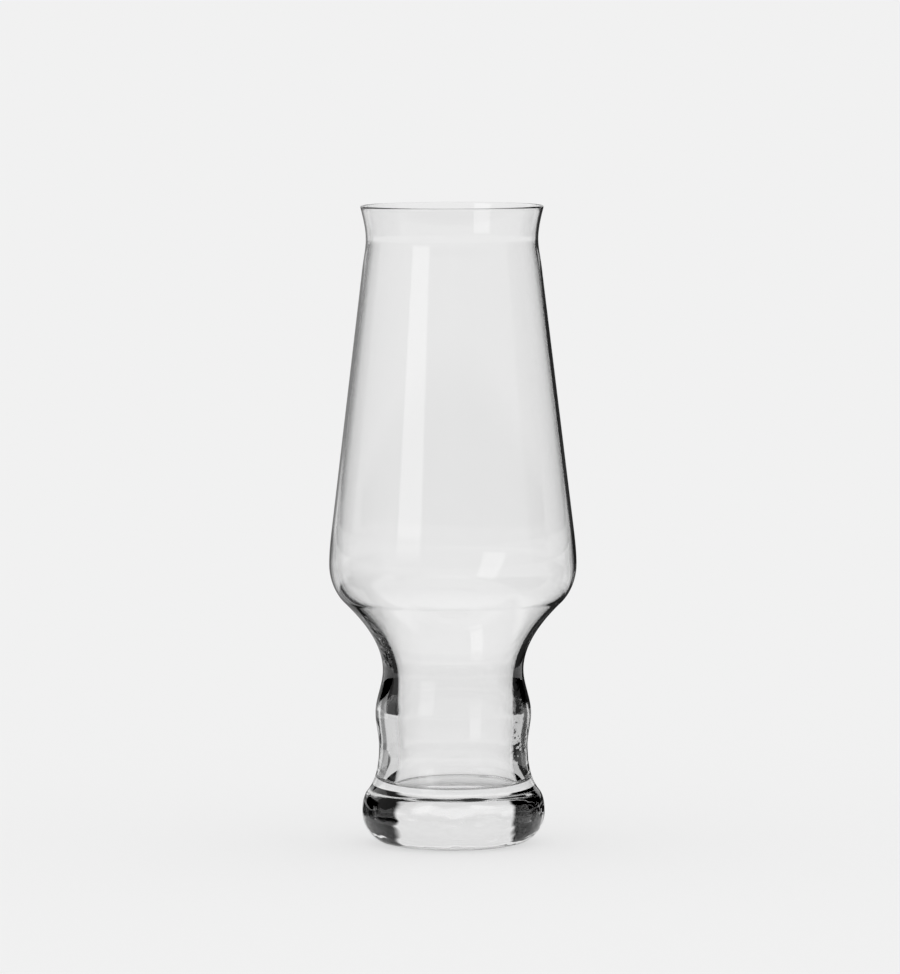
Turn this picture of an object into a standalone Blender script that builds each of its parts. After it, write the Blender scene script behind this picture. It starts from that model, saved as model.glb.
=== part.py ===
"""Footed beer glass: a thin flared bowl on a thick hollow grip and a heavy foot, turned about one axis."""

import math
from itertools import pairwise
from typing import NamedTuple

import bpy
from mathutils import Vector
from mathutils.geometry import interpolate_bezier

MM = 0.001

# From the table to the top of the lip; the straight cone takes up what the other rises leave.
GLASS_HEIGHT = 205.1 * MM

# Foot: outside radii, and the rise from each level to the one above it.
FOOT_RADIUS = 29.3 * MM
FOOT_RISE = 10.1 * MM
FOOT_ROUNDING = 10.1 * MM
REST_RING_WIDTH = 6.2 * MM
PUNT_DEPTH = 1.2 * MM
FLARE_RADIUS = 27.6 * MM
FLARE_RISE = 7.0 * MM
FLARE_LEAN = math.radians(-39.0)
ANKLE_RADIUS = 23.9 * MM
ANKLE_RISE = 14.3 * MM
ANKLE_WALL = 5.0 * MM
BORE_DEPTH = 12.9 * MM
FLOOR_FILLET = 3.0 * MM

# Stem: the grip ring between the two narrow places.
RING_RADIUS = 25.0 * MM
RING_RISE = 10.5 * MM
RING_WALL = 5.4 * MM
WAIST_RADIUS = 22.6 * MM
WAIST_RISE = 13.6 * MM
WAIST_WALL = 2.9 * MM

# Bowl: shoulder, belly, straight cone, neck and flared lip.
SHOULDER_RADIUS = 34.8 * MM
SHOULDER_RISE = 21.7 * MM
SHOULDER_LEAN = math.radians(46.0)
SHOULDER_WALL = 2.9 * MM
BELLY_RADIUS = 39.7 * MM
BELLY_RISE = 12.2 * MM
BELLY_WALL = 1.5 * MM
CONE_BASE_RADIUS = 38.7 * MM
CONE_BASE_RISE = 12.5 * MM
CONE_WALL = 1.1 * MM
CONE_TOP_RADIUS = 28.7 * MM
NECK_RADIUS = 27.6 * MM
NECK_RISE = 8.9 * MM
RIM_RADIUS = 29.3 * MM
RIM_RISE = 10.2 * MM
RIM_LEAN = math.radians(14.0)
LIP_WALL = 1.0 * MM

# Gap between the faces of two pieces that are fused hot.
WELD_GAP = 0.3 * MM

# Facets round the axis, and points along one curve of an outline.
TURN_STEPS = 48
CURVE_POINTS = 7
ARC_POINTS = 8

# A curve's handle is this part of the straight distance between its ends.
HANDLE_SHARE = 1 / 3

# Directions closer than this, as the sine of their angle, make a straight stretch.
STRAIGHT_SINE = 1e-4

# Points on the axis that are closer than this are one point.
MERGE_DISTANCE = 0.01 * MM

GLASS_COLOUR = (0.94, 0.95, 0.95, 1.0)
GLASS_ROUGHNESS = 0.02
GLASS_IOR = 1.5


class Level(NamedTuple):
    """One level of a turned wall: outside radius, height in its piece, outward lean going up, and wall."""

    radius: float
    height: float
    lean: float
    wall: float

    def outside(self) -> Vector:
        """The point of the outer face at this level."""
        return Vector((self.radius, 0.0, self.height))

    def inside(self) -> Vector:
        """The point of the inner face, one wall in from the outer face and square to it."""
        inward = Vector((-math.cos(self.lean), 0.0, math.sin(self.lean)))
        return self.outside() + inward * self.wall

    def upward(self) -> Vector:
        """The way that the wall runs at this level, going up."""
        return Vector((math.sin(self.lean), 0.0, math.cos(self.lean)))


def curve_between(start: Vector, leave: Vector, end: Vector, arrive: Vector) -> list[Vector]:
    """Points of a smooth curve that leaves and arrives in the given directions, both ends included."""
    chord = end - start
    along = chord.normalized()
    if max(leave.cross(along).length, arrive.cross(along).length) < STRAIGHT_SINE:
        return [start, end]
    handle = chord.length * HANDLE_SHARE
    return interpolate_bezier(start, start + leave * handle, end - arrive * handle, end, CURVE_POINTS)


def arc(centre: Vector, radius: float, height: float, start: float, end: float) -> list[Vector]:
    """Points of an elliptic arc in the XZ plane, both ends included, with its angles measured from +X."""
    angles = [start + (end - start) * step / (ARC_POINTS - 1) for step in range(ARC_POINTS)]
    return [centre + Vector((radius * math.cos(a), 0.0, height * math.sin(a))) for a in angles]


def rising_face(points: list[Vector], levels: list[Level]) -> list[Vector]:
    """One face of a wall through a point at each of its levels, from the bottom up."""
    face = points[:1]
    for (start, low), (end, high) in pairwise(zip(points, levels)):
        face += curve_between(start, low.upward(), end, high.upward())[1:]
    return face


def outer_face(levels: list[Level]) -> list[Vector]:
    """The outer face of a wall, from its top level down."""
    return rising_face([level.outside() for level in levels], levels)[::-1]


def inner_face(levels: list[Level]) -> list[Vector]:
    """The inner face of a wall, from its bottom level up."""
    return rising_face([level.inside() for level in levels], levels)


def glass_material(name: str) -> bpy.types.Material:
    """Clear colourless glass for one piece."""
    material = bpy.data.materials.new(name)
    material.use_nodes = True
    shader = material.node_tree.nodes["Principled BSDF"]
    shader.inputs["Base Color"].default_value = GLASS_COLOUR
    shader.inputs["Metallic"].default_value = 0.0
    shader.inputs["Roughness"].default_value = GLASS_ROUGHNESS
    shader.inputs["IOR"].default_value = GLASS_IOR
    shader.inputs["Transmission Weight"].default_value = 1.0
    return material


def turned_piece(name: str, outline: list[Vector], closed: bool, seat: float, axis: bpy.types.Object) -> None:
    """Turns an outline round the Z axis as one piece of the glass, with its lower face at the height seat."""
    edges = list(pairwise(range(len(outline))))
    if closed:
        edges.append((len(outline) - 1, 0))
    mesh = bpy.data.meshes.new(name)
    mesh.from_pydata(outline, edges, [])
    mesh.materials.append(glass_material(name))
    piece = bpy.data.objects.new(name, mesh)
    axis.users_collection[0].objects.link(piece)
    piece.parent = axis
    piece.location.z = seat
    turn = piece.modifiers.new("turn", "SCREW")
    turn.axis = "Z"
    turn.angle = math.tau
    turn.steps = TURN_STEPS
    turn.render_steps = TURN_STEPS
    turn.use_merge_vertices = True
    turn.merge_threshold = MERGE_DISTANCE
    turn.use_smooth_shade = True


def foot_levels() -> list[Level]:
    """The outside of the foot, from its widest level up to its seam at the ankle."""
    flare_height = FOOT_RISE + FLARE_RISE
    return [
        Level(FOOT_RADIUS, FOOT_RISE, 0.0, 0.0),
        Level(FLARE_RADIUS, flare_height, FLARE_LEAN, 0.0),
        Level(ANKLE_RADIUS, flare_height + ANKLE_RISE, 0.0, ANKLE_WALL),
    ]


def stem_levels() -> list[Level]:
    """The grip ring, from its seam at the ankle up to its seam at the waist."""
    return [
        Level(ANKLE_RADIUS, 0.0, 0.0, ANKLE_WALL),
        Level(RING_RADIUS, RING_RISE, 0.0, RING_WALL),
        Level(WAIST_RADIUS, RING_RISE + WAIST_RISE, 0.0, WAIST_WALL),
    ]


def ankle_seat() -> float:
    """Height of the stem's lower face above the table."""
    return foot_levels()[-1].height + WELD_GAP


def waist_seat() -> float:
    """Height of the bowl's lower face above the table."""
    return ankle_seat() + stem_levels()[-1].height + WELD_GAP


def bowl_levels() -> list[Level]:
    """The bowl, from its seam at the waist up to the lip."""
    belly_height = SHOULDER_RISE + BELLY_RISE
    cone_height = belly_height + CONE_BASE_RISE
    lip_rise = LIP_WALL / 2 * (1 + math.sin(RIM_LEAN))
    neck_height = GLASS_HEIGHT - waist_seat() - lip_rise - RIM_RISE
    cone_top = neck_height - NECK_RISE
    cone_lean = math.atan2(CONE_TOP_RADIUS - CONE_BASE_RADIUS, cone_top - cone_height)
    return [
        Level(WAIST_RADIUS, 0.0, 0.0, WAIST_WALL),
        Level(SHOULDER_RADIUS, SHOULDER_RISE, SHOULDER_LEAN, SHOULDER_WALL),
        Level(BELLY_RADIUS, belly_height, 0.0, BELLY_WALL),
        Level(CONE_BASE_RADIUS, cone_height, cone_lean, CONE_WALL),
        Level(CONE_TOP_RADIUS, cone_top, cone_lean, CONE_WALL),
        Level(NECK_RADIUS, neck_height, 0.0, LIP_WALL),
        Level(RIM_RADIUS, neck_height + RIM_RISE, RIM_LEAN, LIP_WALL),
    ]


def foot_outline() -> list[Vector]:
    """The foot: floor and lower end of the bore, ankle seam, flared side, round lower edge, ring and punt."""
    levels = foot_levels()
    ankle = levels[-1]
    floor_height = ankle.height - BORE_DEPTH
    corner = ankle.inside() + Vector((-FLOOR_FILLET, 0.0, FLOOR_FILLET - BORE_DEPTH))
    rest_radius = FOOT_RADIUS - FOOT_ROUNDING
    edge = Vector((rest_radius, 0.0, FOOT_RISE))
    punt_edge = Vector((rest_radius - REST_RING_WIDTH, 0.0, 0.0))
    crown = Vector((0.0, 0.0, PUNT_DEPTH))
    outline = [Vector((0.0, 0.0, floor_height))]
    outline += arc(corner, FLOOR_FILLET, FLOOR_FILLET, -math.pi / 2, 0.0)
    outline.append(ankle.inside())
    outline += outer_face(levels)
    outline += arc(edge, FOOT_ROUNDING, FOOT_RISE, 0.0, -math.pi / 2)[1:]
    outline += curve_between(punt_edge, (crown - punt_edge).normalized(), crown, Vector((-1.0, 0.0, 0.0)))
    return outline


def stem_outline() -> list[Vector]:
    """The grip: outer face with its ring, then the bore."""
    levels = stem_levels()
    return outer_face(levels) + inner_face(levels)


def bowl_outline() -> list[Vector]:
    """The bowl: outer face, inner face and the half-round lip between them."""
    levels = bowl_levels()
    lip = levels[-1]
    middle = (lip.outside() + lip.inside()) / 2
    over = arc(middle, lip.wall / 2, lip.wall / 2, math.pi - lip.lean, -lip.lean)
    return outer_face(levels) + inner_face(levels) + over[1:-1]


def build_glass() -> None:
    """Clears the scene and makes the three pieces, each standing on the one below it."""
    for old in list(bpy.data.objects):
        bpy.data.objects.remove(old, do_unlink=True)
    collection = bpy.data.collections.new("ipa_glass")
    bpy.context.scene.collection.children.link(collection)
    axis = bpy.data.objects.new("turning_axis", None)
    collection.objects.link(axis)
    turned_piece("foot", foot_outline(), False, 0.0, axis)
    turned_piece("stem", stem_outline(), True, ankle_seat(), axis)
    turned_piece("bowl", bowl_outline(), True, waist_seat(), axis)


build_glass()
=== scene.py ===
"""Dresses the beer glass: one wall of clear glass in three fused pieces, in a small pale studio."""

import logging
import math
from dataclasses import dataclass
from enum import Enum
from itertools import pairwise

import bpy
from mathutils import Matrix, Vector
from mathutils.geometry import interpolate_bezier


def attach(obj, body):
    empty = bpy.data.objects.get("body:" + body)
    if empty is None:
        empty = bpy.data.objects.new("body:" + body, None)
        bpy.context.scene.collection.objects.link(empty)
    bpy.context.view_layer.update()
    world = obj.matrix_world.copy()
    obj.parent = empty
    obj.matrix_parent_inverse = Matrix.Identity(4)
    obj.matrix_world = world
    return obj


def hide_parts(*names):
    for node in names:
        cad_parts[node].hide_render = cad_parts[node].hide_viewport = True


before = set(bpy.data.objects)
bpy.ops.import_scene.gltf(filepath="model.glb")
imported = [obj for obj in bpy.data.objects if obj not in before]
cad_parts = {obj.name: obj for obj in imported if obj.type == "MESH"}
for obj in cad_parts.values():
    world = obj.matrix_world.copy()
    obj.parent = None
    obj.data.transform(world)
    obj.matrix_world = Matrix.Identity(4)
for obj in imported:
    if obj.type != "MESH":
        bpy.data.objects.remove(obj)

MM = 0.001
IMAGE_WIDTH = 900
IMAGE_HEIGHT = 974

# Linear value of the floor and the backdrop.
BACKGROUND = 0.8796

# Points of the wall that are closer than this are one point.
MERGE_DISTANCE = 0.001 * MM

# What carries the whole wall's normals and the bore's drift from one step of the work to the next.
WALL_NORMAL = "wall_normal"
BORE_DRIFT = "bore_drift"

# A curve's handle is this part of the straight distance between its ends.
HANDLE_SHARE = 1 / 3
LEAST_CURVE_STEPS = 4

# Facets of a card round the glass.
DEGREES_PER_CARD_STEP = 2
LEAST_CARD_STEPS = 4

# The axis that everything here is turned round.
AXIS_POINT = (0.0, 0.0, 0.0)
AXIS_DIRECTION = (0.0, 0.0, 1.0)

# A height and the size that something has there.
Stop = tuple[float, float]

# The two ends of a range.
Span = tuple[float, float]

log = logging.getLogger("glass")


class Face(Enum):
    """The material slot of a face: a wall that shows, or a weld that doesn't."""

    WALL = 0
    WELD = 1


class Stance(Enum):
    """How a studio card is set up."""

    UPRIGHT = "upright"
    FLAT = "flat"


def grey(value: float) -> tuple[float, float, float, float]:
    """A neutral colour of one linear value."""
    return (value, value, value, 1.0)


def new_tree(name: str) -> tuple[bpy.types.Material, bpy.types.NodeTree, bpy.types.Node]:
    """A material with an empty node tree.

    Args:
        name: the material's name.

    Returns:
        The material, its tree and its output node.
    """
    material = bpy.data.materials.new(name)
    material.use_nodes = True
    tree = material.node_tree
    tree.nodes.clear()
    return material, tree, tree.nodes.new("ShaderNodeOutputMaterial")


def arithmetic(tree: bpy.types.NodeTree, operation: str, first: bpy.types.NodeSocket,
               second: bpy.types.NodeSocket | float | None = None) -> bpy.types.NodeSocket:
    """One step of arithmetic in a node tree.

    Args:
        tree: the node tree.
        operation: the node's operation.
        first: its first value.
        second: its second value, a socket or a number, if it takes two.

    Returns:
        The socket that holds the result.
    """
    node = tree.nodes.new("ShaderNodeMath")
    node.operation = operation
    tree.links.new(first, node.inputs[0])
    if isinstance(second, bpy.types.NodeSocket):
        tree.links.new(second, node.inputs[1])
    elif second is not None:
        node.inputs[1].default_value = second
    return node.outputs[0]


def soft_range(tree: bpy.types.NodeTree, value: bpy.types.NodeSocket, middle: float, half: float,
               soft: float) -> bpy.types.NodeSocket:
    """A share that is 1 round the middle of a range and falls softly to 0 at both of its ends.

    Args:
        tree: the node tree.
        value: the value that runs through the range.
        middle: the middle of the range.
        half: half of the range.
        soft: length of each soft end.

    Returns:
        The socket that holds the share.
    """
    off = arithmetic(tree, "ABSOLUTE", arithmetic(tree, "SUBTRACT", value, middle))
    rise = tree.nodes.new("ShaderNodeMapRange")
    rise.interpolation_type = "SMOOTHSTEP"
    rise.inputs["From Min"].default_value = half
    rise.inputs["From Max"].default_value = half - soft
    tree.links.new(off, rise.inputs["Value"])
    return rise.outputs["Result"]


def show_mix(tree: bpy.types.NodeTree, share: bpy.types.NodeSocket, first: bpy.types.NodeSocket,
             second: bpy.types.NodeSocket, output: bpy.types.Node) -> None:
    """Shows a mix of two shaders.

    Args:
        tree: the node tree.
        share: how much of the second shader shows.
        first: the shader that shows where the share is 0.
        second: the shader that shows where the share is 1.
        output: the tree's output node.
    """
    mix = tree.nodes.new("ShaderNodeMixShader")
    tree.links.new(share, mix.inputs["Fac"])
    tree.links.new(first, mix.inputs[1])
    tree.links.new(second, mix.inputs[2])
    tree.links.new(mix.outputs["Shader"], output.inputs["Surface"])


def select_only(piece: bpy.types.Object) -> None:
    """Makes one object the only selected one, and the active one.

    Args:
        piece: the object.
    """
    bpy.ops.object.select_all(action="DESELECT")
    piece.select_set(True)
    bpy.context.view_layer.objects.active = piece


def draw_chain(points: list[Vector]) -> bpy.types.Object:
    """Draws a chain of edges, each point extruded from the one before it.

    Args:
        points: the points of the chain.

    Returns:
        The chain, in object mode, with its vertices in the order of the points.
    """
    bpy.ops.object.select_all(action="DESELECT")
    bpy.ops.mesh.primitive_plane_add(size=MM, location=points[0])
    chain = bpy.context.object
    bpy.ops.object.transform_apply(location=True, rotation=False, scale=False)
    bpy.ops.object.mode_set(mode="EDIT")
    bpy.ops.mesh.select_mode(type="VERT")
    bpy.ops.mesh.select_all(action="SELECT")
    bpy.ops.mesh.merge(type="CENTER")
    for here, there in pairwise(points):
        bpy.ops.mesh.extrude_region_move(TRANSFORM_OT_translate={"value": there - here})
    bpy.ops.object.mode_set(mode="OBJECT")
    return chain


def spin_chain(chain: bpy.types.Object, steps: int, angle: float) -> None:
    """Spins a chain round the axis, and leaves all of it selected in edit mode.

    Args:
        chain: the chain of edges.
        steps: facets round the axis.
        angle: how far it is spun, in radians.
    """
    select_only(chain)
    bpy.ops.object.mode_set(mode="EDIT")
    bpy.ops.mesh.select_all(action="SELECT")
    bpy.ops.mesh.spin(steps=steps, angle=angle, center=AXIS_POINT, axis=AXIS_DIRECTION)
    bpy.ops.mesh.select_all(action="SELECT")


@dataclass(frozen=True)
class Pucker:
    """A patch where the wall has cooled unevenly.

    Attributes:
        place: the middle of the patch.
        reach: distance from the middle at which it has faded away.
        scale: creases in a metre.
        depth: height of a crease.
        core: the part of the reach in which the creases have their full height.
        detail: how many finer layers the creases have.
    """

    place: tuple[float, float, float]
    reach: float
    scale: float
    depth: float
    core: float = 0.5
    detail: float = 2.0


@dataclass(frozen=True)
class ClearGlass:
    """Colourless fire-polished glass with faint ripples in its foot, two puckered patches and a slight haze.

    Attributes:
        name: the material's name.
        tint: the light that one wall lets through, apart from its reflections.
        ior: refractive index.
        ripple_scale: ripples in a metre of height.
        ripple_aside: ripples in a metre sideways, as a part of those.
        ripple_detail: how many finer layers the ripples have.
        ripple_depth: height of a ripple in the foot.
        calm_depth: height of a ripple in the rest of the glass.
        fade_base, fade_top: heights where the foot's ripples begin to fade and where they have faded.
        puckers: the puckered patches.
        haze_scale: hazy spots in a metre.
        haze_spread: values of the noise at which the haze begins and at which it is full.
        haze: the most roughness, in the haziest spots.
    """

    name: str
    tint: float = 0.995
    ior: float = 1.5
    ripple_scale: float = 170.0
    ripple_aside: float = 0.7
    ripple_detail: float = 1.0
    ripple_depth: float = 0.65 * MM
    calm_depth: float = 0.004 * MM
    fade_base: float = 11.0 * MM
    fade_top: float = 17.5 * MM
    puckers: tuple[Pucker, ...] = (
        Pucker(place=(-24.0 * MM, 0.0, 67.0 * MM), reach=14.0 * MM, scale=420.0, depth=0.28 * MM),
        Pucker(place=(22.0 * MM, 0.0, 42.0 * MM), reach=20.0 * MM, scale=220.0, depth=0.12 * MM),
    )
    haze_scale: float = 60.0
    haze_spread: Span = (0.5, 0.8)
    haze: float = 0.01

    def add_haze(self, tree: bpy.types.NodeTree, place: bpy.types.NodeSocket) -> bpy.types.NodeSocket:
        """Roughness that is nothing over most of the glass and rises in a few soft spots.

        Args:
            tree: the node tree.
            place: the point of the glass.

        Returns:
            The socket that holds the roughness.
        """
        begin, full = self.haze_spread
        spots = tree.nodes.new("ShaderNodeTexNoise")
        spots.inputs["Scale"].default_value = self.haze_scale
        level = tree.nodes.new("ShaderNodeMapRange")
        level.inputs["From Min"].default_value = begin
        level.inputs["From Max"].default_value = full
        level.inputs["To Min"].default_value = 0.0
        level.inputs["To Max"].default_value = self.haze
        tree.links.new(place, spots.inputs["Vector"])
        tree.links.new(spots.outputs["Fac"], level.inputs["Value"])
        return level.outputs["Result"]

    def add_ripples(self, tree: bpy.types.NodeTree, place: bpy.types.NodeSocket) -> bpy.types.NodeSocket:
        """Ripples the foot, and the rest of the glass hardly at all.

        Args:
            tree: the node tree.
            place: the point of the glass.

        Returns:
            The normal with the ripples in it.
        """
        drawn = tree.nodes.new("ShaderNodeVectorMath")
        drawn.operation = "MULTIPLY"
        drawn.inputs[1].default_value = (self.ripple_aside, self.ripple_aside, 1.0)
        ripples = tree.nodes.new("ShaderNodeTexNoise")
        ripples.inputs["Scale"].default_value = self.ripple_scale
        ripples.inputs["Detail"].default_value = self.ripple_detail
        axes = tree.nodes.new("ShaderNodeSeparateXYZ")
        depth = tree.nodes.new("ShaderNodeMapRange")
        depth.inputs["From Min"].default_value = self.fade_base
        depth.inputs["From Max"].default_value = self.fade_top
        depth.inputs["To Min"].default_value = self.ripple_depth
        depth.inputs["To Max"].default_value = self.calm_depth
        bump = tree.nodes.new("ShaderNodeBump")
        bump.inputs["Strength"].default_value = 1.0
        link = tree.links.new
        link(place, drawn.inputs[0])
        link(drawn.outputs["Vector"], ripples.inputs["Vector"])
        link(place, axes.inputs["Vector"])
        link(axes.outputs["Z"], depth.inputs["Value"])
        link(depth.outputs["Result"], bump.inputs["Distance"])
        link(ripples.outputs["Fac"], bump.inputs["Height"])
        return bump.outputs["Normal"]

    def add_pucker(self, tree: bpy.types.NodeTree, place: bpy.types.NodeSocket, pucker: Pucker,
                   normal: bpy.types.NodeSocket) -> bpy.types.NodeSocket:
        """Creases one patch.

        Args:
            tree: the node tree.
            place: the point of the glass.
            pucker: the patch.
            normal: the normal so far.

        Returns:
            The normal with the creases in it.
        """
        away = tree.nodes.new("ShaderNodeVectorMath")
        away.operation = "DISTANCE"
        away.inputs[1].default_value = pucker.place
        depth = tree.nodes.new("ShaderNodeMapRange")
        depth.interpolation_type = "SMOOTHSTEP"
        depth.inputs["From Min"].default_value = pucker.reach
        depth.inputs["From Max"].default_value = pucker.reach * pucker.core
        depth.inputs["To Min"].default_value = 0.0
        depth.inputs["To Max"].default_value = pucker.depth
        creases = tree.nodes.new("ShaderNodeTexNoise")
        creases.inputs["Scale"].default_value = pucker.scale
        creases.inputs["Detail"].default_value = pucker.detail
        bump = tree.nodes.new("ShaderNodeBump")
        bump.inputs["Strength"].default_value = 1.0
        link = tree.links.new
        link(place, away.inputs[0])
        link(away.outputs["Value"], depth.inputs["Value"])
        link(depth.outputs["Result"], bump.inputs["Distance"])
        link(place, creases.inputs["Vector"])
        link(creases.outputs["Fac"], bump.inputs["Height"])
        link(normal, bump.inputs["Normal"])
        return bump.outputs["Normal"]

    def make(self) -> bpy.types.Material:
        """Makes the glass.

        Returns:
            The finished material.
        """
        material, tree, output = new_tree(self.name)
        shader = tree.nodes.new("ShaderNodeBsdfPrincipled")
        shader.inputs["Base Color"].default_value = grey(self.tint)
        shader.inputs["IOR"].default_value = self.ior
        shader.inputs["Transmission Weight"].default_value = 1.0
        place = tree.nodes.new("ShaderNodeTexCoord").outputs["Object"]
        normal = self.add_ripples(tree, place)
        for pucker in self.puckers:
            normal = self.add_pucker(tree, place, pucker, normal)
        tree.links.new(self.add_haze(tree, place), shader.inputs["Roughness"])
        tree.links.new(normal, shader.inputs["Normal"])
        tree.links.new(shader.outputs["BSDF"], output.inputs["Surface"])
        return material


@dataclass(frozen=True)
class FusedWeld:
    """The face where two pieces are fused hot: no surface is left there to see."""

    name: str

    def make(self) -> bpy.types.Material:
        """Makes the weld.

        Returns:
            The finished material.
        """
        material, tree, output = new_tree(self.name)
        shader = tree.nodes.new("ShaderNodeBsdfTransparent")
        tree.links.new(shader.outputs["BSDF"], output.inputs["Surface"])
        return material


@dataclass(frozen=True)
class CardGlow:
    """A studio card of one even brightness with soft edges, black for a flag and bright for a softbox.

    Attributes:
        name: the material's name.
        radiance: its brightness.
        middle: bearing of its middle, in radians.
        half_turn: half of the angle that it covers, in radians.
        side_fade: angle of each soft side, in radians.
        low, high: its ends, as heights or as distances from the axis.
        end_fade: length of each soft end.
        stance: whether its ends are heights or distances.
        mirrored: whether it shows only in reflections.
    """

    name: str
    radiance: float
    middle: float
    half_turn: float
    side_fade: float
    low: float
    high: float
    end_fade: float
    stance: Stance
    mirrored: bool

    def add_extent(self, tree: bpy.types.NodeTree) -> bpy.types.NodeSocket:
        """Where the card is, with its soft edges.

        Args:
            tree: the node tree.

        Returns:
            The socket that holds 1 on the card and 0 beyond it.
        """
        place = tree.nodes.new("ShaderNodeTexCoord")
        turn = tree.nodes.new("ShaderNodeVectorRotate")
        turn.rotation_type = "Z_AXIS"
        turn.inputs["Angle"].default_value = self.middle
        axes = tree.nodes.new("ShaderNodeSeparateXYZ")
        length = tree.nodes.new("ShaderNodeVectorMath")
        length.operation = "LENGTH"
        tree.links.new(place.outputs["Object"], turn.inputs["Vector"])
        tree.links.new(turn.outputs["Vector"], axes.inputs["Vector"])
        tree.links.new(place.outputs["Object"], length.inputs[0])
        bearing = arithmetic(tree, "ARCTAN2", axes.outputs["X"], axes.outputs["Y"])
        run = axes.outputs["Z"] if self.stance is Stance.UPRIGHT else length.outputs["Value"]
        sides = soft_range(tree, bearing, 0.0, self.half_turn, self.side_fade)
        ends = soft_range(tree, run, (self.low + self.high) / 2, (self.high - self.low) / 2, self.end_fade)
        return arithmetic(tree, "MULTIPLY", sides, ends)

    def make(self) -> bpy.types.Material:
        """Makes the card's glow.

        Returns:
            The finished material.
        """
        material, tree, output = new_tree(self.name)
        shown = self.add_extent(tree)
        # A mirrored card is painted reflection: it shows only to rays that have been reflected.
        if self.mirrored:
            path = tree.nodes.new("ShaderNodeLightPath")
            reflected = arithmetic(tree, "MINIMUM", path.outputs["Glossy Depth"], 1.0)
            shown = arithmetic(tree, "MULTIPLY", shown, reflected)
        glow = tree.nodes.new("ShaderNodeEmission")
        glow.inputs["Color"].default_value = grey(1.0)
        glow.inputs["Strength"].default_value = self.radiance
        clear = tree.nodes.new("ShaderNodeBsdfTransparent")
        show_mix(tree, shown, clear.outputs["BSDF"], glow.outputs["Emission"], output)
        return material


@dataclass(frozen=True)
class Level:
    """One level of a face of the wall.

    Attributes:
        radius: distance from the axis.
        height: height above the table.
        lean: outward lean of the face going up, in degrees.
        spacing: distance between the points of the curve that leads up to it.
    """

    radius: float
    height: float
    lean: float = 0.0
    spacing: float = 0.5 * MM

    def point(self) -> Vector:
        """The point of the face at this level."""
        return Vector((self.radius, 0.0, self.height))

    def upward(self) -> Vector:
        """The way that the face runs, going up."""
        lean = math.radians(self.lean)
        return Vector((math.sin(lean), 0.0, math.cos(lean)))


def curve(start: Level, end: Level) -> list[Vector]:
    """A smooth curve between two levels.

    Args:
        start: the level that it leaves.
        end: the level that it leads up to.

    Returns:
        The points of the curve, both ends included.
    """
    chord = end.point() - start.point()
    reach = chord.length * HANDLE_SHARE
    steps = max(LEAST_CURVE_STEPS, round(chord.length / end.spacing))
    leave = start.point() + start.upward() * reach
    arrive = end.point() - end.upward() * reach
    return interpolate_bezier(start.point(), leave, arrive, end.point(), steps + 1)


def rising(levels: list[Level]) -> list[Vector]:
    """One face of the wall.

    Args:
        levels: the levels that it runs through, from the bottom up.

    Returns:
        The points of the face, from the bottom up.
    """
    face = [levels[0].point()]
    for low, high in pairwise(levels):
        face += curve(low, high)[1:]
    return face


def arc(centre: Vector, radius: float, height: float, start: float, end: float, steps: int) -> list[Vector]:
    """Points of an elliptic arc in the XZ plane, both ends included, with its angles in degrees from +X."""
    angles = [math.radians(start + (end - start) * step / steps) for step in range(steps + 1)]
    return [centre + Vector((radius * math.cos(a), 0.0, height * math.sin(a))) for a in angles]


@dataclass(frozen=True)
class Course:
    """A size that changes smoothly with height.

    Attributes:
        stops: heights, from the bottom up, and the size at each of them.
    """

    stops: tuple[Stop, ...]

    def slope(self, index: int) -> float:
        """How fast the size changes at one stop, taken from the stops beside it.

        Args:
            index: the number of the stop.

        Returns:
            The change of the size with height.
        """
        low, start = self.stops[max(index - 1, 0)]
        high, end = self.stops[min(index + 1, len(self.stops) - 1)]
        return (end - start) / (high - low)

    def at(self, height: float) -> float:
        """The size at a height, on a cubic curve between the stops below and above it.

        Args:
            height: the height.

        Returns:
            The size there, which beyond the first or the last stop is the size at that stop.
        """
        if height <= self.stops[0][0]:
            return self.stops[0][1]
        for index, ((low, start), (high, end)) in enumerate(pairwise(self.stops)):
            if height <= high:
                span = high - low
                t = (height - low) / span
                level = start * (1 + 2 * t) * (1 - t) ** 2 + end * t * t * (3 - 2 * t)
                bend = self.slope(index) * t * (1 - t) ** 2 - self.slope(index + 1) * t * t * (1 - t)
                return level + bend * span
        return self.stops[-1][1]


@dataclass
class GlassPiece:
    """One of the pieces that the wall is cut into.

    Attributes:
        name: the piece's name.
        node: the solid that it stands for.
    """

    name: str
    node: str

    def dress(self, piece: bpy.types.Object) -> None:
        """Gives the cut piece its glass, the normals of the whole wall and its place in the frame.

        Args:
            piece: the cut piece.
        """
        mesh = piece.data
        mesh.materials[Face.WALL.value] = ClearGlass(f"{self.name}_clear").make()
        mesh.materials[Face.WELD.value] = FusedWeld(f"{self.name}_weld").make()
        kept = mesh.attributes[WALL_NORMAL]
        mesh.normals_split_custom_set_from_vertices([item.vector.copy() for item in kept.data])
        mesh.attributes.remove(mesh.attributes[WALL_NORMAL])
        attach(piece, "root")
        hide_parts(self.node)


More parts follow.
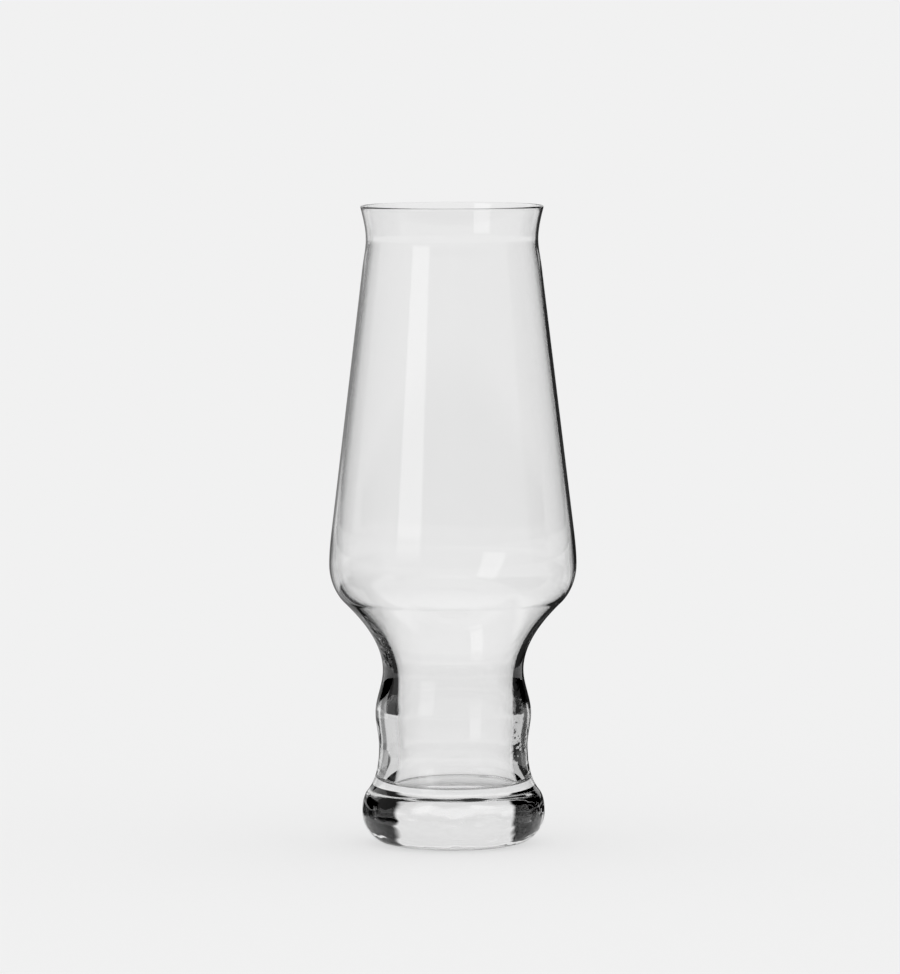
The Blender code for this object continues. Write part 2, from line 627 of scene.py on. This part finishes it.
@dataclass
class Foot(GlassPiece):
    """The heavy base with the floor of the bore in it.

    Attributes:
        radius, rise: the widest level of the side.
        rounding: how far the round lower edge goes in under the side.
        ring_width: width of the flat ring that the glass stands on.
        punt_depth: how far the underside is domed inside that ring.
        flare_radius, flare_height, flare_lean: the level where the side leans in most, below the ankle.
        floor_height: height of the bore's floor.
        floor_spacing: distance between the points of the floor.
        corner_width, corner_rise: the round corner between the floor and the side of the bore.
        corner_steps, edge_steps: facets along that corner and along the round lower edge.
        wall: the wall above that corner.
        drift: how far the bore stands off the axis there.
    """

    radius: float = 29.3 * MM
    rise: float = 10.1 * MM
    rounding: float = 10.1 * MM
    ring_width: float = 6.2 * MM
    punt_depth: float = 1.2 * MM
    flare_radius: float = 27.6 * MM
    flare_height: float = 17.1 * MM
    flare_lean: float = -39.0
    floor_height: float = 17.6 * MM
    floor_spacing: float = 0.7 * MM
    corner_width: float = 14.0 * MM
    corner_rise: float = 1.5 * MM
    corner_steps: int = 40
    edge_steps: int = 32
    wall: float = 5.7 * MM
    drift: float = 0.5 * MM

    def outside(self) -> list[Level]:
        """The side, from the widest level up, without the ankle."""
        return [Level(self.radius, self.rise), Level(self.flare_radius, self.flare_height, self.flare_lean)]

    def well(self) -> float:
        """Height at which the round corner of the floor meets the side of the bore."""
        return self.floor_height + self.corner_rise

    def floor(self, bore: float) -> list[Vector]:
        """The floor and the round corner that leads up to the side of the bore.

        Args:
            bore: radius of the bore.

        Returns:
            The points, from the axis outwards.
        """
        corner = Vector((bore - self.corner_width, 0.0, self.well()))
        count = round(corner.x / self.floor_spacing)
        flat = [Vector((corner.x * step / count, 0.0, self.floor_height)) for step in range(count)]
        return flat + arc(corner, self.corner_width, self.corner_rise, -90.0, 0.0, self.corner_steps)

    def underside(self) -> list[Vector]:
        """The round lower edge below the side, the ring that the glass stands on and the punt.

        Returns:
            The points, from the side inwards to the axis.
        """
        rest = self.radius - self.rounding
        middle = Vector((rest, 0.0, self.rise))
        edge = arc(middle, self.rounding, self.rise, 0.0, -90.0, self.edge_steps)[1:]
        punt = curve(Level(0.0, self.punt_depth, 90.0), Level(rest - self.ring_width, 0.0, 90.0))
        return edge + punt[::-1]


@dataclass
class Stem(GlassPiece):
    """The thick hollow grip with its ring, between the seams at the ankle and the waist.

    Attributes:
        ankle_radius, ankle_height: the narrow place above the foot.
        ring_radius, ring_height: the widest place of the ring.
        waist_radius, waist_height: the narrow place below the bowl.
        grip_height: a height between the ring and the waist.
        ankle_wall, ring_wall, grip_wall, waist_wall: the wall at each of those heights.
        waist_drift: how far the bore stands off the axis at the waist.
    """

    ankle_radius: float = 23.9 * MM
    ankle_height: float = 31.55 * MM
    ring_radius: float = 25.0 * MM
    ring_height: float = 42.2 * MM
    waist_radius: float = 22.6 * MM
    waist_height: float = 55.95 * MM
    grip_height: float = 46.0 * MM
    ankle_wall: float = 5.5 * MM
    ring_wall: float = 6.0 * MM
    grip_wall: float = 5.55 * MM
    waist_wall: float = 3.4 * MM
    waist_drift: float = 0.6 * MM

    def outside(self) -> list[Level]:
        """From the ankle up to the waist."""
        return [
            Level(self.ankle_radius, self.ankle_height),
            Level(self.ring_radius, self.ring_height),
            Level(self.waist_radius, self.waist_height),
        ]

    def walls(self) -> tuple[Stop, ...]:
        """Heights from the ankle up to the waist, and the wall at each of them."""
        return (
            (self.ankle_height, self.ankle_wall),
            (self.ring_height, self.ring_wall),
            (self.grip_height, self.grip_wall),
            (self.waist_height, self.waist_wall),
        )


@dataclass
class Bowl(GlassPiece):
    """The thin cup with its root, shoulder, belly, cone, neck and lip.

    Attributes:
        shoulder_radius, shoulder_height, shoulder_lean: the level where the wall leans out most.
        belly_radius, belly_height: the widest level.
        cone_base_radius, cone_base_height: the lower end of the straight cone.
        cone_top_radius, cone_top_height: its upper end.
        neck_radius, neck_height: the narrow place below the lip.
        rim_radius, rim_height, rim_lean: the level at which the round edge of the lip begins.
        cup_spacing: distance between the points of the outline from the belly up.
        lip_steps: facets over the round edge of the lip.
        root_height: a height between the waist and the shoulder.
        root_wall, shoulder_wall, belly_wall, cone_wall, lip_wall: the wall at each of those places.
        shoulder_drift: how far the bore stands off the axis at the shoulder.
    """

    shoulder_radius: float = 34.8 * MM
    shoulder_height: float = 77.8 * MM
    shoulder_lean: float = 46.0
    belly_radius: float = 39.7 * MM
    belly_height: float = 90.0 * MM
    cone_base_radius: float = 38.7 * MM
    cone_base_height: float = 102.5 * MM
    cone_top_radius: float = 28.7 * MM
    cone_top_height: float = 185.4 * MM
    neck_radius: float = 27.6 * MM
    neck_height: float = 194.3 * MM
    rim_radius: float = 29.3 * MM
    rim_height: float = 204.5 * MM
    rim_lean: float = 14.0
    cup_spacing: float = 1.2 * MM
    lip_steps: int = 16
    root_height: float = 64.0 * MM
    root_wall: float = 2.45 * MM
    shoulder_wall: float = 1.75 * MM
    belly_wall: float = 1.75 * MM
    cone_wall: float = 1.1 * MM
    lip_wall: float = 1.0 * MM
    shoulder_drift: float = 0.45 * MM

    def cone_lean(self) -> float:
        """Lean of the straight cone, in degrees."""
        rise = self.cone_top_height - self.cone_base_height
        return math.degrees(math.atan2(self.cone_top_radius - self.cone_base_radius, rise))

    def outside(self) -> list[Level]:
        """From the shoulder up to the lip."""
        lean = self.cone_lean()
        return [
            Level(self.shoulder_radius, self.shoulder_height, self.shoulder_lean),
            Level(self.belly_radius, self.belly_height),
            Level(self.cone_base_radius, self.cone_base_height, lean, self.cup_spacing),
            Level(self.cone_top_radius, self.cone_top_height, lean, self.cup_spacing),
            Level(self.neck_radius, self.neck_height, 0.0, self.cup_spacing),
            Level(self.rim_radius, self.rim_height, self.rim_lean, self.cup_spacing),
        ]

    def walls(self) -> tuple[Stop, ...]:
        """Heights from the root up to the lip, and the wall at each of them."""
        return (
            (self.root_height, self.root_wall),
            (self.shoulder_height, self.shoulder_wall),
            (self.belly_height, self.belly_wall),
            (self.cone_base_height, self.cone_wall),
            (self.cone_top_height, self.cone_wall),
            (self.neck_height, self.lip_wall),
            (self.rim_height, self.lip_wall),
        )

    def lip(self, inner: Vector, outer: Vector) -> list[Vector]:
        """The half-round edge of the lip.

        Args:
            inner: where the inner face ends.
            outer: where the outer face ends.

        Returns:
            The points from the inner face over to the outer one, without its ends.
        """
        half = (outer - inner).length / 2
        middle = (inner + outer) / 2
        return arc(middle, half, half, 180.0 - self.rim_lean, -self.rim_lean, self.lip_steps)[1:-1]


@dataclass
class GlassWall:
    """The whole wall in one mesh, before it is cut at the two seams.

    Attributes:
        foot, stem, bowl: the pieces that it is cut into.
        turns: facets round the axis.
        most_drift: the drift of the bore that a weight of one stands for.
    """

    foot: Foot
    stem: Stem
    bowl: Bowl
    turns: int = 224
    most_drift: float = 4.0 * MM

    def thickness(self) -> Course:
        """The wall, square to the outer face, by the height of the outer face."""
        return Course(((self.foot.well(), self.foot.wall), *self.stem.walls(), *self.bowl.walls()))

    def drift(self) -> Course:
        """How far the bore stands off the axis, by height."""
        foot, stem, bowl = self.foot, self.stem, self.bowl
        return Course((
            (foot.well(), foot.drift),
            (stem.waist_height, stem.waist_drift),
            (bowl.shoulder_height, bowl.shoulder_drift),
            (bowl.belly_height, 0.0),
        ))

    def outside(self) -> list[Vector]:
        """The outer face from the widest level of the foot up to the lip."""
        return rising(self.foot.outside() + self.stem.outside() + self.bowl.outside())

    def inside(self) -> list[Vector]:
        """The inner face, one wall in from the outer face and square to it, and the floor.

        Returns:
            The points, from the middle of the floor up to the lip.
        """
        outer = self.outside()
        wall = self.thickness()
        bore = []
        for below, here, above in zip(outer, outer[1:], outer[2:] + outer[-1:]):
            along = (above - below).normalized()
            bore.append(here + Vector((-along.z, 0.0, along.x)) * wall.at(here.z))
        side = [point for point in bore if point.z > self.foot.well() + self.foot.floor_spacing / 2]
        return self.foot.floor(side[0].x) + side

    def draw(self) -> bpy.types.Object:
        """Draws the outline point by point, with the bore's drift as a group of weights.

        Returns:
            The outline, a chain of edges from the middle of the floor to the middle of the punt.
        """
        inside = self.inside()
        outside = self.outside()[::-1]
        wall = draw_chain(inside + self.bowl.lip(inside[-1], outside[0]) + outside + self.foot.underside())
        drift = self.drift()
        group = wall.vertex_groups.new(name=BORE_DRIFT)
        for index, point in enumerate(inside):
            group.add([index], drift.at(point.z) / self.most_drift, "REPLACE")
        return wall

    def turn(self, wall: bpy.types.Object) -> None:
        """Spins the outline into a closed wall with its faces pointing out of the glass.

        Args:
            wall: the outline.
        """
        spin_chain(wall, self.turns, math.tau)
        bpy.ops.mesh.remove_doubles(threshold=MERGE_DISTANCE)
        bpy.ops.mesh.normals_make_consistent(inside=False)
        bpy.ops.object.mode_set(mode="OBJECT")
        bpy.ops.object.shade_smooth()

    def settle(self, wall: bpy.types.Object) -> None:
        """Moves the bore off the axis, as the blown bubble sits in the pressed outside.

        Args:
            wall: the whole wall.
        """
        select_only(wall)
        shift = wall.modifiers.new(BORE_DRIFT, "DISPLACE")
        shift.direction = "X"
        shift.mid_level = 0.0
        shift.strength = self.most_drift
        shift.vertex_group = BORE_DRIFT
        bpy.ops.object.modifier_apply(modifier=shift.name)

    def keep_normals(self, wall: bpy.types.Object) -> None:
        """Stores the whole wall's smooth normals, so that no seam shows once it is cut.

        Args:
            wall: the whole wall.
        """
        mesh = wall.data
        kept = mesh.attributes.new(WALL_NORMAL, "FLOAT_VECTOR", "POINT")
        for item, vertex in zip(kept.data, mesh.vertices):
            item.vector = vertex.normal

    def close_weld(self, piece: bpy.types.Object) -> None:
        """Bridges the two open rings of a cut with a face that is the weld.

        Args:
            piece: the cut piece.
        """
        select_only(piece)
        bpy.ops.object.mode_set(mode="EDIT")
        bpy.ops.mesh.select_mode(type="EDGE")
        bpy.ops.mesh.select_all(action="DESELECT")
        bpy.ops.mesh.select_non_manifold(
            use_wire=False,
            use_boundary=True,
            use_multi_face=False,
            use_non_contiguous=False,
            use_verts=False,
        )
        bpy.ops.mesh.bridge_edge_loops()
        piece.active_material_index = Face.WELD.value
        bpy.ops.object.material_slot_assign()
        bpy.ops.mesh.select_all(action="SELECT")
        bpy.ops.mesh.normals_make_consistent(inside=False)
        bpy.ops.object.mode_set(mode="OBJECT")

    def cut_above(self, rest: bpy.types.Object, height: float) -> bpy.types.Object:
        """Cuts the wall at a seam.

        Args:
            rest: the wall, which keeps what is below the seam.
            height: the height of the seam.

        Returns:
            What is above the seam, as an object of its own.
        """
        select_only(rest)
        bpy.ops.object.mode_set(mode="EDIT")
        bpy.ops.mesh.select_mode(type="FACE")
        bpy.ops.mesh.select_all(action="DESELECT")
        bpy.ops.object.mode_set(mode="OBJECT")
        for face in rest.data.polygons:
            face.select = face.center.z > height
        bpy.ops.object.mode_set(mode="EDIT")
        bpy.ops.mesh.separate(type="SELECTED")
        bpy.ops.object.mode_set(mode="OBJECT")
        upper = next(piece for piece in bpy.context.selected_objects if piece is not rest)
        self.close_weld(upper)
        self.close_weld(rest)
        return upper

    def build(self) -> list[bpy.types.Object]:
        """Builds the whole wall, cuts it into its pieces and dresses them.

        Returns:
            The foot, the stem and the bowl.
        """
        wall = self.draw()
        self.turn(wall)
        self.settle(wall)
        self.keep_normals(wall)
        for _ in Face:
            wall.data.materials.append(None)
        bowl = self.cut_above(wall, self.stem.waist_height)
        stem = self.cut_above(wall, self.stem.ankle_height)
        cuts = [wall, stem, bowl]
        for kind, cut in zip((self.foot, self.stem, self.bowl), cuts):
            cut.name = kind.name
            cut.data.name = kind.name
            cut.vertex_groups.clear()
            kind.dress(cut)
        return cuts


@dataclass(frozen=True)
class Card:
    """A curved studio card round the glass, which only the glass shows.

    Attributes:
        name: its name.
        sides: bearings of its sides from the glass, in degrees: 0 is behind the glass, 90 to its right.
        ends: elevations of an upright card's ends in degrees, or distances of a flat card's ends.
        radiance: its brightness.
        fades: angle of each soft side in degrees, and length of each soft end in the units of its ends.
        stance: upright, or flat on the floor.
        mirrored: whether it shows only in reflections.
        distance: from the glass to an upright card.
        lift: height of a flat card above the floor.
    """

    name: str
    sides: Span
    ends: Span
    radiance: float
    fades: Span
    stance: Stance = Stance.UPRIGHT
    mirrored: bool = False
    distance: float = 5.0
    lift: float = 0.5 * MM

    def reach(self, end: float) -> float:
        """The height of an upright card's end, or the distance of a flat card's end."""
        return self.distance * math.tan(math.radians(end)) if self.stance is Stance.UPRIGHT else end

    def edge(self) -> list[Vector]:
        """The straight edge that is swept into the card.

        Returns:
            Its two ends, both straight behind the glass.
        """
        low, high = (self.reach(end) for end in self.ends)
        if self.stance is Stance.UPRIGHT:
            return [Vector((0.0, self.distance, low)), Vector((0.0, self.distance, high))]
        return [Vector((0.0, low, self.lift)), Vector((0.0, high, self.lift))]

    def glow(self) -> CardGlow:
        """The card's finish, which fades out at its edges.

        Returns:
            The finish.
        """
        start, end = self.sides
        low, high = self.ends
        side_fade, end_fade = self.fades
        return CardGlow(
            name=self.name,
            radiance=self.radiance,
            middle=math.radians((start + end) / 2),
            half_turn=math.radians(end - start) / 2,
            side_fade=math.radians(side_fade),
            low=self.reach(low),
            high=self.reach(high),
            end_fade=self.reach(high) - self.reach(high - end_fade),
            stance=self.stance,
            mirrored=self.mirrored,
        )

    def build(self) -> None:
        """Sweeps the card's edge round the glass from one side to the other and gives it its glow."""
        start, end = self.sides
        card = draw_chain(self.edge())
        card.name = self.name
        steps = max(LEAST_CARD_STEPS, round(end - start) // DEGREES_PER_CARD_STEP)
        spin_chain(card, steps, math.radians(end - start))
        bpy.ops.transform.rotate(value=math.radians(start), orient_axis="Z", center_override=AXIS_POINT)
        bpy.ops.object.mode_set(mode="OBJECT")
        card.data.materials.append(self.glow().make())
        card.visible_camera = False
        card.visible_diffuse = False
        card.visible_shadow = False


def painted_reflection_card(name: str, sides: Span, ends: Span, radiance: float, fades: Span, lift: float) -> Card:
    """A flat card of painted reflection that lies on the floor and shows only in reflections."""
    return Card(name, sides, ends, radiance, fades, Stance.FLAT, mirrored=True, lift=lift)


@dataclass
class Studio:
    """Floor, surroundings, cards and camera.

    Attributes:
        camera_distance, camera_height, camera_aside: the camera's place from the foot of the glass.
        camera_pitch, camera_roll: how far it looks down and how far it is turned on its axis, in degrees.
        focal_pixels: its focal length, in pixels of the image.
        sensor: width of its sensor, in millimetres.
        view_length: how far it sees.
        floor_radius, floor_corners: size of the floor, and corners round it.
        light: the even light from all round.
        shadow_fill: how much of the glass's shadow on the floor the camera misses.
    """

    camera_distance: float = 2.24
    camera_height: float = 0.2911
    camera_aside: float = -0.4 * MM
    camera_pitch: float = 4.5
    camera_roll: float = 0.15
    focal_pixels: float = 7008.0
    sensor: float = 36.0
    view_length: float = 200.0
    floor_radius: float = 60.0
    floor_corners: int = 128
    light: float = 1.0
    shadow_fill: float = 0.65

    def add_camera(self) -> None:
        """A long lens at the photograph's angle."""
        data = bpy.data.cameras.new("camera")
        data.sensor_fit = "AUTO"
        data.sensor_width = self.sensor
        data.lens = self.focal_pixels * self.sensor / max(IMAGE_WIDTH, IMAGE_HEIGHT)
        data.clip_end = self.view_length
        camera = bpy.data.objects.new("camera", data)
        bpy.context.scene.collection.objects.link(camera)
        camera.location = (self.camera_aside, -self.camera_distance, self.camera_height)
        camera.rotation_euler = (math.radians(90.0 - self.camera_pitch), math.radians(self.camera_roll), 0.0)
        bpy.context.scene.camera = camera

    def add_world(self) -> None:
        """Even light from all round, which the camera and the glass see as the pale backdrop."""
        world = bpy.data.worlds.new("studio")
        bpy.context.scene.world = world
        world.use_nodes = True
        tree = world.node_tree
        tree.nodes.clear()
        output = tree.nodes.new("ShaderNodeOutputWorld")
        light = tree.nodes.new("ShaderNodeBackground")
        light.inputs["Color"].default_value = grey(self.light)
        backdrop = tree.nodes.new("ShaderNodeBackground")
        backdrop.inputs["Color"].default_value = grey(BACKGROUND)
        rays = tree.nodes.new("ShaderNodeLightPath").outputs
        glass = arithmetic(tree, "MAXIMUM", rays["Is Glossy Ray"], rays["Is Transmission Ray"])
        seen = arithmetic(tree, "MAXIMUM", rays["Is Camera Ray"], glass)
        show_mix(tree, seen, light.outputs["Background"], backdrop.outputs["Background"], output)

    def add_floor(self) -> None:
        """A pale matt floor that takes the glass's shadow and meets the backdrop unseen."""
        bpy.ops.object.select_all(action="DESELECT")
        bpy.ops.mesh.primitive_circle_add(
            vertices=self.floor_corners, radius=self.floor_radius, fill_type="NGON"
        )
        floor = bpy.context.object
        floor.name = "floor"
        material, tree, output = new_tree("pale_floor")
        matt = tree.nodes.new("ShaderNodeBsdfDiffuse")
        matt.inputs["Color"].default_value = grey(BACKGROUND / self.light)
        even = tree.nodes.new("ShaderNodeEmission")
        even.inputs["Color"].default_value = grey(BACKGROUND)
        rays = tree.nodes.new("ShaderNodeLightPath").outputs
        share = arithmetic(tree, "MULTIPLY", rays["Is Camera Ray"], self.shadow_fill)
        show_mix(tree, share, matt.outputs["BSDF"], even.outputs["Emission"], output)
        floor.data.materials.append(material)

    def upright_cards(self) -> list[Card]:
        """The shades, the flags and the softbox that stand round the glass, and the mirrored cards, which
        are painted reflections.
        """
        return [
            Card("front_shade", (100.0, 250.0), (-20.0, 55.0), 0.3, (3.0, 6.0)),
            # Painted reflection: a dim shade on the left side that only the glass's reflections show.
            Card("side_shade", (246.0, 300.0), (-20.0, 55.0), 0.25, (3.0, 6.0), mirrored=True, distance=5.1),
            Card("flag_left", (-69.0, -28.0), (-20.0, 15.0), 0.0, (4.0, 3.0), distance=4.9),
            Card("flag_right", (26.0, 104.0), (-20.0, 40.0), 0.0, (5.0, 7.0), distance=4.9),
            # Painted reflections at the glass's edges, grey on the left and nearly black on the right, shown
            # only in reflections.
            Card(
                "edge_painted_reflection_left", (-32.0, -3.0), (-20.0, 3.0), 0.24, (3.0, 1.0), mirrored=True, distance=4.85
            ),
            Card(
                "edge_painted_reflection_right", (3.0, 34.0), (-20.0, 3.0), 0.02, (3.0, 1.0), mirrored=True, distance=4.85
            ),
            Card("back_shade", (-32.0, 32.0), (1.0, 14.0), 0.76, (4.0, 4.0), distance=5.2),
            Card("softbox", (-151.0, -124.0), (0.5, 52.0), 1.3, (3.0, 3.0), distance=4.8),
        ]

    def painted_floor_reflections(self) -> list[Card]:
        """Painted reflections of darker or brighter floor, flat cards that only the glass mirrors, each a
        little above or below the ones that it overlaps.
        """
        return [
            # Painted reflections: each patch of floor, dark or bright, shows only in the glass's
            # reflections, never to the eye.
            painted_reflection_card("far_painted_reflection", (56.0, 302.0), (0.30, 9.0), 0.55, (6.0, 0.01), 0.5 * MM),
            painted_reflection_card("mid_painted_reflection", (56.0, 302.0), (0.02, 1.1), 0.78, (6.0, 0.3), 0.3 * MM),
            painted_reflection_card("front_painted_reflection", (56.0, 302.0), (0.035, 0.52), 0.04, (6.0, 0.14), 0.6 * MM),
            painted_reflection_card("right_painted_reflection", (8.0, 64.0), (0.035, 0.33), 0.02, (6.0, 0.04), 1.0 * MM),
            painted_reflection_card("right_far_painted_reflection", (2.0, 32.0), (0.27, 9.0), 0.03, (6.0, 0.03), 0.8 * MM),
            painted_reflection_card("right_side_painted_reflection", (26.0, 70.0), (0.28, 9.0), 0.55, (4.0, 0.03), 0.7 * MM),
            painted_reflection_card("left_painted_reflection", (-70.0, -27.0), (0.055, 0.30), 0.03, (6.0, 0.03), 1.5 * MM),
            painted_reflection_card("left_far_painted_reflection", (-26.0, -2.0), (0.27, 9.0), 0.25, (6.0, 0.03), 1.2 * MM),
            painted_reflection_card("left_side_painted_reflection", (-70.0, -20.0), (0.27, 9.0), 0.68, (4.0, 0.03), 1.1 * MM),
            painted_reflection_card("left_near_painted_reflection", (-34.0, -4.0), (0.05, 0.32), 0.32, (6.0, 0.03), 1.8 * MM),
        ]

    def build(self) -> None:
        """The whole set."""
        self.add_world()
        self.add_floor()
        for card in self.upright_cards() + self.painted_floor_reflections():
            card.build()
        self.add_camera()


def main() -> None:
    """Builds the glass and its studio and reports each piece."""
    logging.basicConfig(level=logging.INFO, format="%(message)s")
    bpy.context.scene.view_settings.view_transform = "Standard"
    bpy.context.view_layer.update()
    wall = GlassWall(Foot("glass_foot", "foot"), Stem("glass_stem", "stem"), Bowl("glass_bowl", "bowl"))
    for piece in wall.build():
        log.info("%s: %d faces", piece.name, len(piece.data.polygons))
    Studio().build()


if __name__ == "__main__":
    main()
